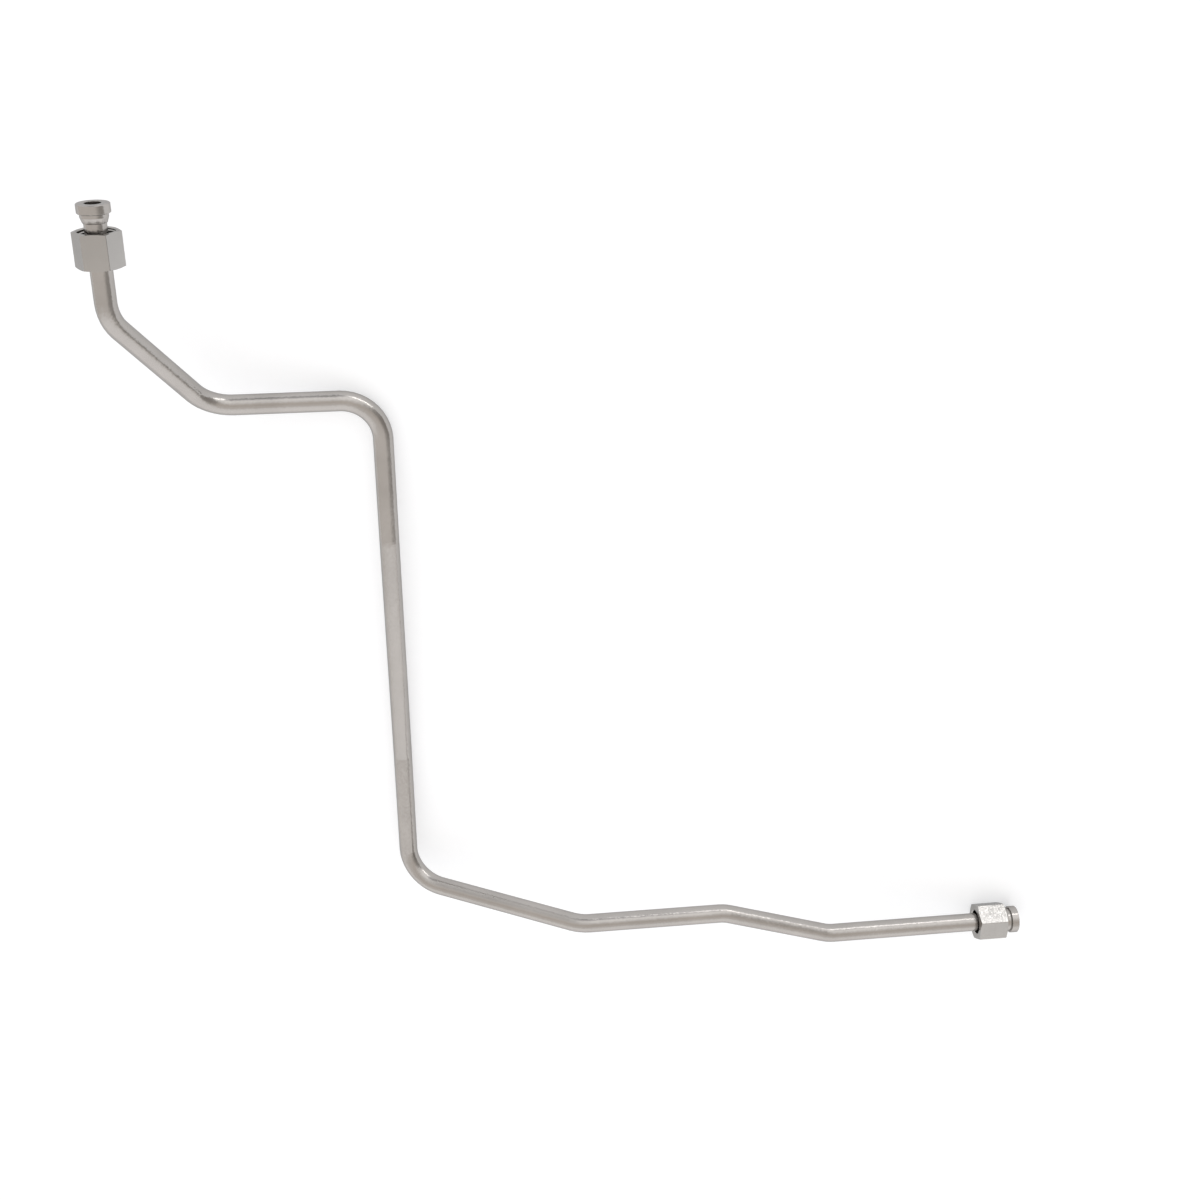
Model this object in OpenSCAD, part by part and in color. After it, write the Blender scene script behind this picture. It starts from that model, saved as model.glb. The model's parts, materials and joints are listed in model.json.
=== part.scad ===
// Bent hydraulic tube assembly. One steel tube runs through nine bends, has a flat-faced sleeve brazed on
// each end and carries a loose coupling nut behind each sleeve. The route is laid out as the tube stands in
// use, with X to the right, Y to the back and Z up, and is then laid on its back, as it rests on a table.

/* [Tube] */
// Outside diameter of the tube
tube_od = 12.7; // [10:0.1:14]
// Wall thickness of the tube
tube_wall = 1.65; // [1:0.05:2.5]
// Radius of every bend, at the middle of the tube
bend_r = 25.4; // [20:0.2:30]
// How much thinner the wall is in a bend, on each side
bend_thinning = 0.02; // [0.01:0.005:0.1]

/* [Route] */
// Height of the upright, from the foot corner to the top corner
upright_h = 369.2; // [330:0.1:420]
// Height at which the upright starts to lean forward
lean_low_h = 103; // [80:1:140]
// Height at which the upright is plumb again
lean_high_h = 274.5; // [220:0.5:300]
// How far the top of the upright stands forward of its foot
lean_forward = 22; // [5:0.5:40]
// Length of the level run at the top, between its corners
top_run = 104; // [90:1:140]
// How far the slanting run goes to the side
slant_side = 44.7; // [35:0.1:70]
// How far the slanting run comes forward
slant_forward = 45; // [20:0.5:60]
// How far the slanting run rises
slant_rise = 67; // [50:1:90]
// Length of the upper end, from its corner to the sealing face
upper_end = 65.3; // [62:0.1:100]
// How far the foot run goes to the side
foot_side = 116.5; // [100:0.5:150]
// How far the foot run comes forward
foot_forward = 70.5; // [40:0.5:90]
// Length of the level run at the bottom, between its corners
level_run = 101.5; // [80:0.5:130]
// How far the sloping run goes to the side
slope_side = 76; // [60:1:100]
// How far the sloping run drops
slope_drop = 24.2; // [10:0.1:40]
// Length of the lower end, from its corner to the sealing face
lower_end = 138.5; // [80:0.5:180]

/* [Sleeves] */
// Diameter of the sleeve's head
head_d = 18.8; // [17.5:0.1:19.2]
// Length of the sleeve's head
head_l = 5.3; // [3.5:0.1:7]
// Diameter of the land behind the head
land_d = 15.9; // [15.2:0.1:16.1]
// Length of the land
land_l = 2.1; // [1:0.1:4]
// Diameter to which the sleeve tapers behind the land
taper_d = 14.4; // [14:0.1:15.1]
// Length of the taper
taper_l = 2.2; // [1:0.1:4]
// Slope of the sleeve's tail, where it runs down to the tube
tail_angle = 45; // [20:1:60]
// Thickness of the end wall between the tube's end and the sealing face
face_wall = 2.4; // [1.5:0.1:3.2]
// Height of the chamfers on the head's rims
head_chamfer = 0.35; // [0.1:0.05:0.8]
// Gap around the tube in the sleeve's socket, filled by the braze
braze_gap = 0.05; // [0.03:0.01:0.1]

/* [Nuts] */
// Width of the nut across its flats
nut_af = 24; // [23.4:0.1:30]
// Length of the nut
nut_l = 20.4; // [17:0.1:26]
// Nominal diameter of the nut's thread
thread_d = 20.64; // [20.2:0.01:21.5]
// Depth of the threaded mouth, from the nut's front to the shoulder that draws on the sleeve
thread_l = 13.3; // [9:0.1:14]
// Diameter of the hole behind the shoulder
rear_hole_d = 16.4; // [16.3:0.1:17.2]
// Diameter of the round end faces that the corner chamfers leave
nut_face_d = 23; // [22.2:0.1:23.2]
// Slope of the corner chamfers
nut_chamfer_angle = 15; // [10:1:45]
// How far the nut's corners are turned down
corner_turn = 0.1; // [0.05:0.05:0.4]
// Height of the countersink at the nut's mouth and of the break at its rear hole
nut_break = 0.6; // [0.2:0.1:0.8]
// How far the upper nut's front lies behind the upper sealing face
upper_nut_back = 15; // [8:0.1:18]
// How far the lower nut's front lies behind the lower sealing face
lower_nut_back = 9.5; // [8:0.1:20]

/* [Resting pose] */
// How far past lying flat the upright leans back
rest_lean = 5.09; // [0:0.01:10]
// How far the foot run tips down to the lower nut
rest_tip = 10.12; // [0:0.01:15]

/* [Hidden] */

$fn = 96;
tube_r = tube_od / 2;
bore_r = tube_r - tube_wall;
// How far a straight run laps over the start and the end of a bend
lap = 0.6;
// How far a cut runs past the faces it opens
over = 1;
// Radius of the nut's turned corners, and half the angle that each of them takes up
nut_corner_r = nut_af / 2 / cos(30) - corner_turn;
corner_half = 30 - acos(nut_af / 2 / nut_corner_r);
RIGHT = [1, 0, 0];
UP = [0, 0, 1];
STEEL = [0.72, 0.70, 0.68];
NUT_STEEL = [0.66, 0.65, 0.63];

// Corners of the route, from the upper end to the lower end, with the foot corner at the origin
foot = [0, 0, 0];
lean_low = [0, 0, lean_low_h];
lean_high = [0, -lean_forward, lean_high_h];
top = [0, -lean_forward, upright_h];
slant_low = top - top_run * RIGHT;
slant_high = slant_low + [-slant_side, -slant_forward, slant_rise];
upper_face = slant_high + upper_end * UP;
foot_end = [foot_side, -foot_forward, 0];
slope_high = foot_end + level_run * RIGHT;
slope_low = slope_high + [slope_side, 0, -slope_drop];
lower_face = slope_low + lower_end * RIGHT;
route = [
    upper_face - face_wall * UP, slant_high, slant_low, top, lean_high, lean_low,
    foot, foot_end, slope_high, slope_low, lower_face - face_wall * RIGHT
];
last = len(route) - 1;

function unit(v) = v / norm(v);
// Direction of the run that leaves corner i
function heading(i) = unit(route[i + 1] - route[i]);
function turn(i) = acos(heading(i - 1) * heading(i));
function is_end(i) = i == 0 || i == last;
// Length that a bend takes off the runs on both sides of its corner, none at the route's ends
function setback(i) = is_end(i) ? 0 : bend_r * tan(turn(i) / 2);
function run_lap(i) = is_end(i) ? 0 : lap;
function bend_start(i) = route[i] - setback(i) * heading(i - 1);
function bend_end(i) = route[i] + setback(i) * heading(i);
function bend_middle(i) = route[i] + unit(heading(i) - heading(i - 1)) * bend_r / cos(turn(i) / 2);

// Extreme point of a ring along a direction, and of each piece, for setting the part on its base
function ring_reach(centre, axis, r, d) = d * centre + r * norm(cross(axis, d));
function bend_reach(i, d) =
    let (arm = bend_start(i) - bend_middle(i), steps = 24)
    max([for (k = [0:steps])
        let (a = turn(i) * k / steps, out = arm * cos(a) + bend_r * heading(i - 1) * sin(a))
        ring_reach(bend_middle(i) + out, cross(out, cross(heading(i - 1), arm)) / bend_r ^ 2, tube_r, d)
    ]);
function nut_reach(front, axis, corner, d) =
    let (inset = (nut_corner_r - nut_face_d / 2) * tan(nut_chamfer_angle), side = cross(axis, corner))
    max([for (along = [inset, nut_l - inset], middle = [0:60:300], half = [-corner_half, corner_half])
        let (a = middle + half)
        d * (front - along * axis + nut_corner_r * (corner * cos(a) + side * sin(a)))
    ]);
function head_reach(face, axis, d) = max(
    ring_reach(face, axis, head_d / 2 - head_chamfer, d),
    ring_reach(face - head_chamfer * axis, axis, head_d / 2, d)
);
upper_nut_front = upper_face - upper_nut_back * UP;
lower_nut_front = lower_face - lower_nut_back * RIGHT;
function reach(d) = max(
    max([for (i = [1:last - 1]) bend_reach(i, d)]),
    nut_reach(upper_nut_front, UP, RIGHT, d),
    nut_reach(lower_nut_front, RIGHT, UP, d),
    head_reach(upper_face, UP, d),
    head_reach(lower_face, RIGHT, d)
);

// Directions of the resting part's own axes, seen from the upright route
rest_x = [cos(rest_tip), -sin(rest_tip) * cos(rest_lean), -sin(rest_tip) * sin(rest_lean)];
rest_y = [0, -sin(rest_lean), cos(rest_lean)];
rest_z = cross(rest_x, rest_y);
rest_middle_x = (reach(rest_x) - reach(-rest_x)) / 2;
rest_middle_y = (reach(rest_y) - reach(-rest_y)) / 2;
rest_base_z = -reach(-rest_z);

// Lay the upright part on its back, with the middle of its base at the origin
module resting() {
    translate([-rest_middle_x, -rest_middle_y, -rest_base_z])
        multmatrix([rest_x, rest_y, rest_z]) children();
}

// Place a piece by the directions of its own axes and its origin
module placed(x_axis, y_axis, z_axis, origin) {
    multmatrix([for (k = [0:2]) [x_axis[k], y_axis[k], z_axis[k], origin[k]]]) children();
}

module wall_section(thinning = 0) {
    difference() {
        circle(r = tube_r - thinning);
        circle(r = bore_r + thinning);
    }
}

// Straight run that leaves corner i
module run(i) {
    start = bend_end(i) - run_lap(i) * heading(i);
    end = bend_start(i + 1) + run_lap(i + 1) * heading(i);
    near_bend = max(i, 1);
    side = unit(cross(heading(near_bend - 1), heading(near_bend)));
    placed(cross(side, heading(i)), side, heading(i), start)
        linear_extrude(norm(end - start)) wall_section();
}

// Bend at corner i, swept from the run before it to the run after it
module bend(i) {
    arm = unit(bend_start(i) - bend_middle(i));
    placed(arm, heading(i - 1), cross(arm, heading(i - 1)), bend_middle(i))
        rotate_extrude(angle = turn(i)) translate([bend_r, 0]) wall_section(bend_thinning);
}

module tube() {
    color(STEEL) resting() {
        for (i = [0:last - 1]) run(i);
        for (i = [1:last - 1]) bend(i);
    }
}

// Sleeve with its sealing face at the origin, facing +Z, and its socket open at the back
module sleeve() {
    head_r = head_d / 2;
    land_r = land_d / 2;
    land_back = head_l + land_l;
    taper_back = land_back + taper_l;
    socket_r = tube_r + braze_gap;
    tail_l = (taper_d / 2 - socket_r) / tan(tail_angle);
    rotate_extrude() polygon([
        [bore_r, 0],
        [head_r - head_chamfer, 0],
        [head_r, -head_chamfer],
        [head_r, head_chamfer - head_l],
        [head_r - head_chamfer, -head_l],
        [land_r, -head_l],
        [land_r, -land_back],
        [taper_d / 2, -taper_back],
        [socket_r, -taper_back - tail_l],
        [socket_r, -face_wall],
        [bore_r, -face_wall]
    ]);
}

module upper_sleeve() {
    color(STEEL) resting() translate(upper_face) sleeve();
}

module lower_sleeve() {
    color(STEEL) resting() translate(lower_face) rotate([0, 90, 0]) sleeve();
}

// Coupling nut with its front face at the origin, facing +Z, and a corner on its X axis
module nut() {
    face_r = nut_face_d / 2;
    cut_l = (nut_corner_r - face_r) * tan(nut_chamfer_angle);
    difference() {
        intersection() {
            translate([0, 0, -nut_l]) cylinder(d = nut_af / cos(30), h = nut_l, $fn = 6);
            rotate_extrude() polygon([
                [0, 0], [face_r, 0], [nut_corner_r, -cut_l],
                [nut_corner_r, cut_l - nut_l], [face_r, -nut_l], [0, -nut_l]
            ]);
        }
        translate([0, 0, -nut_l - over]) cylinder(d = rear_hole_d, h = nut_l + over);
        translate([0, 0, -thread_l]) cylinder(d = thread_d, h = thread_l + over);
        translate([0, 0, -nut_break])
            cylinder(d1 = thread_d, d2 = thread_d + 2 * (nut_break + over), h = nut_break + over);
        translate([0, 0, -nut_l - over])
            cylinder(d1 = rear_hole_d + 2 * (nut_break + over), d2 = rear_hole_d, h = nut_break + over);
    }
}

module upper_nut() {
    color(NUT_STEEL) resting() translate(upper_nut_front) nut();
}

module lower_nut() {
    color(NUT_STEEL) resting() translate(lower_nut_front) rotate([0, 90, 0]) nut();
}

tube();
upper_sleeve();
lower_sleeve();
upper_nut();
lower_nut();
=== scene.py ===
"""Looks of the bent tube assembly: satin steel, nut threads, braze beads, floor, light and camera."""

import json
import math

import bmesh
import bpy
from mathutils import Matrix, Vector


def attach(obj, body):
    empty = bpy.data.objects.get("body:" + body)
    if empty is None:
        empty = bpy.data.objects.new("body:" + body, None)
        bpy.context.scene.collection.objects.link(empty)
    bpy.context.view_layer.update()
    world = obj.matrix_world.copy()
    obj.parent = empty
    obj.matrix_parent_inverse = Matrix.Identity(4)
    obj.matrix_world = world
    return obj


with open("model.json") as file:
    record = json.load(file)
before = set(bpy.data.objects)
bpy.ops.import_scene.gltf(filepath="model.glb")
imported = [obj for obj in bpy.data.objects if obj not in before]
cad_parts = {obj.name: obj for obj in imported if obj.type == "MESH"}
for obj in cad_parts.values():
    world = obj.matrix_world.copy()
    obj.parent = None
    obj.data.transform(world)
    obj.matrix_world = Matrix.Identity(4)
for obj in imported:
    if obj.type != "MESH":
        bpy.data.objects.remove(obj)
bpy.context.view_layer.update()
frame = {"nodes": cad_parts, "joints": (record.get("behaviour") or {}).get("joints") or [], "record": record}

MM = 0.001

# Directions of the tube as it stands in use, seen from the resting part
joints = {joint["name"]: joint for joint in frame["joints"]}
mounts = {mount["name"]: mount for mount in frame["record"]["mounts"]}
UP = Vector(joints["upper_nut_slide"]["axis"]).normalized()
RIGHT = Vector(joints["lower_nut_slide"]["axis"]).normalized()
BACK = UP.cross(RIGHT)

# Ends of the tube: the flow bores are measured from half way through the sleeves' end walls
FACE_WALL = 2.4 * MM
upper_face = Vector(mounts["upper_flow_bore"]["pos_m"]) + UP * FACE_WALL / 2
lower_face = Vector(mounts["lower_flow_bore"]["pos_m"]) + RIGHT * FACE_WALL / 2
upper_nut_front = Vector(mounts["upper_thread"]["pos_m"])
lower_nut_front = Vector(mounts["lower_thread"]["pos_m"])

# Camera, measured in the standing directions from the lower sealing face
CAMERA_RIGHT = -0.4152
CAMERA_BACK = -0.9092
CAMERA_UP = 0.7005
CAMERA_TURN = math.radians(7.072)
CAMERA_DIP = math.radians(25.072)
LENS_MM = 48.14
SENSOR_MM = 36

# Nut thread, 16 turns to the inch, with crests that clear the sleeve's head
THREAD_PITCH = 25.4 / 16 * MM
THREAD_ROOT_R = mounts["upper_thread"]["dims"]["r_mm"] * MM
THREAD_CREST_R = 9.65 * MM
THREAD_L = mounts["upper_thread"]["dims"]["length_mm"] * MM
THREAD_LEAD_IN = 0.9 * MM
THREAD_RUN_OUT = 1.2 * MM
THREAD_ROOT_HALF = 0.44 * THREAD_PITCH
THREAD_CREST_HALF = 0.12 * THREAD_PITCH
THREAD_SINK = 0.04 * MM
THREAD_FADE_TURNS = 0.5
THREAD_LEAST_RISE = 0.05
THREAD_STEPS = 72

# Braze bead that carries the sleeve's taper on over its tail, measured back from the sealing face
TUBE_R = 6.35 * MM
BEAD_START = 9.6 * MM
BEAD_START_R = 7.21 * MM
BEAD_SHOULDER = 10.55 * MM
BEAD_SHOULDER_R = 6.89 * MM
BEAD_END = 10.75 * MM
BEAD_SINK = 0.03 * MM
BEAD_STEPS = 96

# Finish of the steel: grains, slow clouds and tool marks to the metre
GRAIN_SCALE = 1150.0
CLOUD_SCALE = 45.0
RING_SCALE = 2600.0
RING_ROUGHNESS = 0.6
NOISE_DETAIL = 3.0
# What the clouds do to the shade, as factors, and to the roughness, as steps down and up
CLOUD_SHADES = (0.95, 1.05)
SMOOTHER = 0.03
ROUGHER = 0.04
# Half the width of the zone, at the middle of the part, where tool marks go over from end to end
ENDS_MEET = 0.01
# How far edges are eased, and the angle from which they stay edges
EDGE_R = 0.25 * MM
EDGE_SAMPLES = 6
SHARP_ANGLE = math.radians(30)
# How much of the mirror sheen steel keeps where it is seen edge-on
EDGE_SHEEN = 0.6
# Each finish, as colour, roughness, lean of the grains and depth of the tool marks
TUBE_FINISH = ((0.42, 0.4, 0.382), 0.2, 0.08, 0.0)
SLEEVE_FINISH = ((0.42, 0.4, 0.382), 0.2, 0.03, 0.004 * MM)
NUT_FINISH = ((0.412, 0.4, 0.386), 0.2, 0.038, 0.0)

# Floor, with the colour that lights the part, and the colour and glow that eye and metal see as white
FLOOR_REACH = 60.0
FLOOR_COLOUR = (0.8, 0.8, 0.8, 1)
SEEN_COLOUR = (0.63, 0.645, 0.668, 1)
SEEN_GLOW = 0.45

# Brightness of the studio from below to above the standing tube, as (height, colour)
STUDIO_STOPS = [
    (-1.00, (1.31, 1.29, 1.29)),
    (-0.64, (1.25, 1.24, 1.23)),
    (-0.40, (0.91, 0.87, 0.83)),
    (-0.22, (0.95, 0.91, 0.87)),
    (0.00, (0.83, 0.77, 0.72)),
    (0.30, (0.92, 0.88, 0.84)),
    (0.62, (1.33, 1.32, 1.31)),
    (0.80, (1.49, 1.48, 1.47)),
    (0.90, (1.27, 1.27, 1.27)),
    (0.95, (0.67, 0.67, 0.68)),
    (0.98, (0.48, 0.48, 0.49)),
]
STUDIO_PEAK = 1.5
# Heights over which the level zone comes and goes, and how the studio dims in it to the right
LEVEL_COMES = (-0.5, -0.36)
LEVEL_GOES = (0.45, 0.65)
LEVEL_SIDE = (0.35, 0.75)
LEVEL_DIM = 0.5
# Heights over which the high zone comes, and how the studio dims in it to the left
HIGH_COMES = (0.35, 0.65)
HIGH_SIDE = (-0.9, 0.0)
HIGH_DIM = 0.45

# Long soft box over the lower end: standing direction from the part, distance, size and power
LAMP_WAY = (0.46, -0.19, 0.87)
LAMP_DISTANCE = 1.8
LAMP_WIDTH = 1.2
LAMP_DEPTH = 0.36
LAMP_WATTS = 4.15


def add_node(tree, kind, inputs=None, **settings):
    """Add a shader node with its settings, and with a value or a link for each named input."""
    made = tree.nodes.new(kind)
    for name, value in settings.items():
        setattr(made, name, value)
    for name, value in (inputs or {}).items():
        socket = made.inputs[name]
        if isinstance(value, bpy.types.NodeSocket):
            tree.links.new(value, socket)
        else:
            socket.default_value = value
    return made


def noise(tree, point, scale, roughness=0.5):
    """Grey noise at a point in metres, with about scale grains to the metre."""
    inputs = {"Vector": point, "Scale": scale, "Detail": NOISE_DETAIL, "Roughness": roughness}
    return add_node(tree, "ShaderNodeTexNoise", inputs).outputs["Fac"]


def spread(tree, value, low, high, start=0.3, end=0.7):
    """Map a grey value onto a range, by default from where most of a noise lies."""
    inputs = {"Value": value, "From Min": start, "From Max": end, "To Min": low, "To Max": high}
    return add_node(tree, "ShaderNodeMapRange", inputs).outputs["Result"]


def math_node(tree, operation, first, second):
    """One sum on two numbers."""
    made = add_node(tree, "ShaderNodeMath", {0: first, 1: second}, operation=operation)
    return made.outputs[0]


def vector_node(tree, operation, first, second=(0, 0, 0)):
    """One sum on two vectors that gives a vector."""
    made = add_node(tree, "ShaderNodeVectorMath", {0: first, 1: second}, operation=operation)
    return made.outputs["Vector"]


def dot(tree, vector, direction):
    """How far a vector goes along a direction."""
    made = add_node(tree, "ShaderNodeVectorMath", {0: vector, 1: direction}, operation="DOT_PRODUCT")
    return made.outputs["Value"]


def mix(tree, share, first, second):
    """Number between two numbers."""
    made = add_node(tree, "ShaderNodeMix", {0: share, 2: first, 3: second}, data_type="FLOAT")
    return made.outputs[0]


def blank_material(name):
    """Material with an empty node tree."""
    material = bpy.data.materials.new(name)
    material.use_nodes = True
    material.node_tree.nodes.clear()
    return material


def turned_rings(tree, point):
    """Fine tool marks around the axis of the nearer end: the upper end is at -X, the lower one at +X."""
    across = dot(tree, point, Vector((1, 0, 0)))
    at_lower = spread(tree, across, 0.0, 1.0, -ENDS_MEET, ENDS_MEET)
    along = mix(tree, at_lower, dot(tree, point, UP), dot(tree, point, RIGHT))
    line = add_node(tree, "ShaderNodeCombineXYZ", {"X": along}).outputs[0]
    return noise(tree, line, RING_SCALE, RING_ROUGHNESS)


def grains(tree, point, normal, lean):
    """Normal that leans a little its own way on each grain of the metal."""
    cells = add_node(tree, "ShaderNodeTexVoronoi", {"Vector": point, "Scale": GRAIN_SCALE})
    ways = vector_node(tree, "SUBTRACT", cells.outputs["Color"], (0.5, 0.5, 0.5))
    leans = vector_node(tree, "MULTIPLY", ways, (lean, lean, lean))
    return vector_node(tree, "NORMALIZE", vector_node(tree, "ADD", normal, leans))


def steel(name, colour, roughness, lean, ring_depth):
    """Satin steel with fine grains, soft edges and a slow change of shade and gloss."""
    material = blank_material(name)
    tree = material.node_tree
    point = add_node(tree, "ShaderNodeTexCoord").outputs["Object"]
    cloud = noise(tree, point, CLOUD_SCALE)
    tint = add_node(tree, "ShaderNodeMix", {"Factor": 1.0}, data_type="RGBA", blend_type="MULTIPLY")
    tint.inputs[6].default_value = (*colour, 1.0)
    tree.links.new(spread(tree, cloud, *CLOUD_SHADES), tint.inputs[7])
    normal = add_node(tree, "ShaderNodeBevel", {"Radius": EDGE_R}, samples=EDGE_SAMPLES).outputs["Normal"]
    normal = grains(tree, point, normal, lean)
    if ring_depth > 0:
        inputs = {"Height": turned_rings(tree, point), "Distance": ring_depth, "Normal": normal}
        normal = add_node(tree, "ShaderNodeBump", inputs).outputs["Normal"]
    shader = add_node(tree, "ShaderNodeBsdfPrincipled", {
        "Base Color": tint.outputs[2],
        "Metallic": 1.0,
        "Specular Tint": (EDGE_SHEEN, EDGE_SHEEN, EDGE_SHEEN, 1),
        "Roughness": spread(tree, cloud, roughness - SMOOTHER, roughness + ROUGHER),
        "Normal": normal,
    })
    out = add_node(tree, "ShaderNodeOutputMaterial")
    tree.links.new(shader.outputs["BSDF"], out.inputs["Surface"])
    return material


def dress(node_name, material):
    """Give a solid its finish."""
    data = frame["nodes"][node_name].data
    data.materials.clear()
    data.materials.append(material)


def turned_frame(origin, axis):
    """Matrix that puts a piece made around Z, with its front at the origin, on an end of the tube."""
    turn = axis.to_track_quat("Z", "Y").to_matrix().to_4x4()
    return Matrix.Translation(origin) @ turn


def new_piece(name, mesh_builder, place, body, material):
    """Make a piece from a bmesh builder, put it in place and let it ride on a body."""
    made = bmesh.new()
    mesh_builder(made)
    bmesh.ops.recalc_face_normals(made, faces=made.faces)
    data = bpy.data.meshes.new(name)
    made.to_mesh(data)
    made.free()
    data.transform(place)
    for face in data.polygons:
        face.use_smooth = True
    data.set_sharp_from_angle(angle=SHARP_ANGLE)
    data.materials.append(material)
    piece = bpy.data.objects.new(name, data)
    bpy.context.scene.collection.objects.link(piece)
    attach(piece, body)


def ring_of_points(made, profile, angle, shift=0.0):
    """Points of a (radius, height) profile at an angle around Z."""
    return [made.verts.new((r * math.cos(angle), r * math.sin(angle), shift + z)) for r, z in profile]


def join_rings(made, near, far):
    """Faces between two rings of points."""
    count = len(near)
    for i in range(count):
        j = (i + 1) % count
        made.faces.new((near[i], near[j], far[j], far[i]))


def build_thread(made):
    """Helical ridge inside the nut's mouth that fades out at both ends."""
    turns = (THREAD_L - THREAD_LEAD_IN - THREAD_RUN_OUT) / THREAD_PITCH
    steps = round(turns * THREAD_STEPS)
    root = THREAD_ROOT_R + THREAD_SINK
    rings = []
    for k in range(steps + 1):
        turned = k / THREAD_STEPS
        left = (steps - k) / THREAD_STEPS
        rise = max(min(1, turned / THREAD_FADE_TURNS, left / THREAD_FADE_TURNS), THREAD_LEAST_RISE)
        crest = THREAD_ROOT_R + (THREAD_CREST_R - THREAD_ROOT_R) * rise
        profile = [
            (root, THREAD_ROOT_HALF),
            (crest, THREAD_CREST_HALF),
            (crest, -THREAD_CREST_HALF),
            (root, -THREAD_ROOT_HALF),
        ]
        middle = -THREAD_LEAD_IN - THREAD_PITCH * k / THREAD_STEPS
        rings.append(ring_of_points(made, profile, 2 * math.pi * k / THREAD_STEPS, middle))
    for near, far in zip(rings, rings[1:]):
        join_rings(made, near, far)
    made.faces.new(rings[0])
    made.faces.new(rings[-1])


def build_bead(made):
    """Ring of braze that closes the step between the sleeve's tail and the tube."""
    sunk_r = TUBE_R - BEAD_SINK
    profile = [
        (BEAD_START_R, -BEAD_START),
        (BEAD_SHOULDER_R, -BEAD_SHOULDER),
        (sunk_r, -BEAD_END),
        (sunk_r, -BEAD_START),
    ]
    rings = [ring_of_points(made, profile, 2 * math.pi * k / BEAD_STEPS) for k in range(BEAD_STEPS)]
    for near, far in zip(rings, rings[1:] + rings[:1]):
        join_rings(made, near, far)


def lay_floor():
    """Pale floor that looks white and keeps the part's soft shadow."""
    bpy.ops.mesh.primitive_plane_add(size=2 * FLOOR_REACH, location=(0, 0, 0))
    floor = bpy.context.object
    floor.name = "floor"
    material = blank_material("pale_floor")
    tree = material.node_tree
    path = add_node(tree, "ShaderNodeLightPath")
    seen = math_node(tree, "MAXIMUM", path.outputs["Is Camera Ray"], path.outputs["Is Glossy Ray"])
    seen = math_node(tree, "MAXIMUM", seen, path.outputs["Is Transmission Ray"])
    plain = add_node(tree, "ShaderNodeBsdfDiffuse", {"Color": FLOOR_COLOUR})
    dim = add_node(tree, "ShaderNodeBsdfDiffuse", {"Color": SEEN_COLOUR})
    glow = add_node(tree, "ShaderNodeEmission", {"Color": (1, 1, 1, 1), "Strength": SEEN_GLOW})
    white = add_node(tree, "ShaderNodeAddShader", {0: dim.outputs[0], 1: glow.outputs[0]})
    mixed = add_node(tree, "ShaderNodeMixShader", {0: seen, 1: plain.outputs[0], 2: white.outputs[0]})
    out = add_node(tree, "ShaderNodeOutputMaterial")
    tree.links.new(mixed.outputs[0], out.inputs["Surface"])
    floor.data.materials.append(material)


def light_world():
    """Studio of soft light: bright below and high in front, dim level to the right and high to the left."""
    world = bpy.data.worlds.new("studio")
    bpy.context.scene.world = world
    world.use_nodes = True
    tree = world.node_tree
    tree.nodes.clear()
    way = add_node(tree, "ShaderNodeTexCoord").outputs["Generated"]
    height = dot(tree, way, UP)
    side = dot(tree, way, RIGHT)
    ramp = add_node(tree, "ShaderNodeValToRGB", {"Fac": spread(tree, height, 0.0, 1.0, -1.0, 1.0)})
    stops = ramp.color_ramp.elements
    while len(stops) < len(STUDIO_STOPS):
        stops.new(0.5)
    # All places come before the colours, because the ramp puts its stops in order as they move
    for stop, (at, _) in zip(stops, STUDIO_STOPS):
        stop.position = (at + 1) / 2
    for stop, (_, colour) in zip(stops, STUDIO_STOPS):
        stop.color = (*(part / STUDIO_PEAK for part in colour), 1)
    level_comes = spread(tree, height, 0.0, 1.0, *LEVEL_COMES)
    level_goes = spread(tree, height, 1.0, 0.0, *LEVEL_GOES)
    level = math_node(tree, "MULTIPLY", level_comes, level_goes)
    high = spread(tree, height, 0.0, 1.0, *HIGH_COMES)
    strength = STUDIO_PEAK
    for zone, dimmed in (
        (level, spread(tree, side, 1.0, LEVEL_DIM, *LEVEL_SIDE)),
        (high, spread(tree, side, HIGH_DIM, 1.0, *HIGH_SIDE)),
    ):
        strength = math_node(tree, "MULTIPLY", mix(tree, zone, 1.0, dimmed), strength)
    glow = add_node(tree, "ShaderNodeBackground", {"Color": ramp.outputs["Color"], "Strength": strength})
    out = add_node(tree, "ShaderNodeOutputWorld")
    tree.links.new(glow.outputs[0], out.inputs["Surface"])


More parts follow.
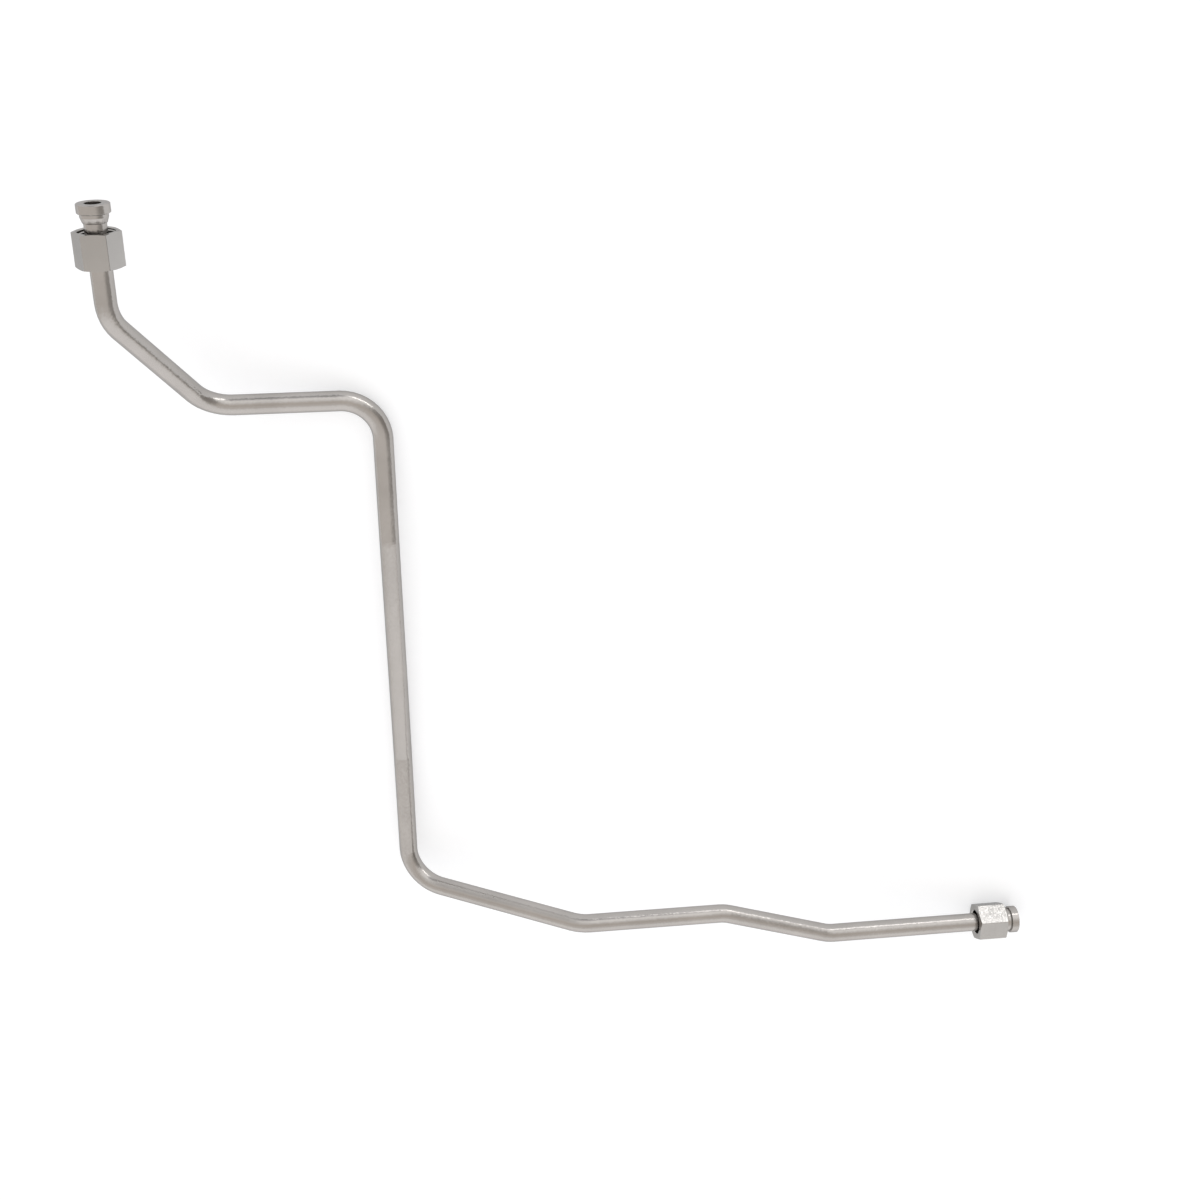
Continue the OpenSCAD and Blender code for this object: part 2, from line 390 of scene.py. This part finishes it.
def hang_lamp():
    """Soft box that hangs in its standing direction from the part and faces it."""
    data = bpy.data.lights.new("high_softbox", "AREA")
    data.shape = "RECTANGLE"
    data.size = LAMP_WIDTH
    data.size_y = LAMP_DEPTH
    data.energy = LAMP_WATTS
    lamp = bpy.data.objects.new("high_softbox", data)
    bpy.context.scene.collection.objects.link(lamp)
    way = (RIGHT * LAMP_WAY[0] + BACK * LAMP_WAY[1] + UP * LAMP_WAY[2]).normalized()
    lamp.location = way * LAMP_DISTANCE
    lamp.rotation_euler = (-way).to_track_quat("-Z", "Y").to_euler()


def place_camera():
    """Camera at the photo's angle, level with the standing tube."""
    data = bpy.data.cameras.new("camera")
    data.sensor_fit = "HORIZONTAL"
    data.sensor_width = SENSOR_MM
    data.lens = LENS_MM
    camera = bpy.data.objects.new("camera", data)
    bpy.context.scene.collection.objects.link(camera)
    ahead = RIGHT * math.sin(CAMERA_TURN) + BACK * math.cos(CAMERA_TURN)
    look = ahead * math.cos(CAMERA_DIP) - UP * math.sin(CAMERA_DIP)
    across = look.cross(UP).normalized()
    over = across.cross(look)
    turn = Matrix((across, over, -look)).transposed().to_4x4()
    spot = lower_face + RIGHT * CAMERA_RIGHT + BACK * CAMERA_BACK + UP * CAMERA_UP
    camera.matrix_world = Matrix.Translation(spot) @ turn
    bpy.context.scene.camera = camera


tube_steel = steel("tube_steel", *TUBE_FINISH)
sleeve_steel = steel("sleeve_steel", *SLEEVE_FINISH)
nut_steel = steel("nut_steel", *NUT_FINISH)
dress("tube", tube_steel)
for end in ("upper", "lower"):
    dress(end + "_sleeve", sleeve_steel)
    dress(end + "_nut", nut_steel)

for end, face, front, axis in (
    ("upper", upper_face, upper_nut_front, UP),
    ("lower", lower_face, lower_nut_front, RIGHT),
):
    at_nut = turned_frame(front, axis)
    at_face = turned_frame(face, axis)
    new_piece(end + "_thread_ridge", build_thread, at_nut, end + "_coupling", nut_steel)
    new_piece(end + "_braze_bead", build_bead, at_face, "bent_tube", sleeve_steel)

lay_floor()
light_world()
hang_lamp()
place_camera()

bpy.context.scene.view_settings.view_transform = "Standard"
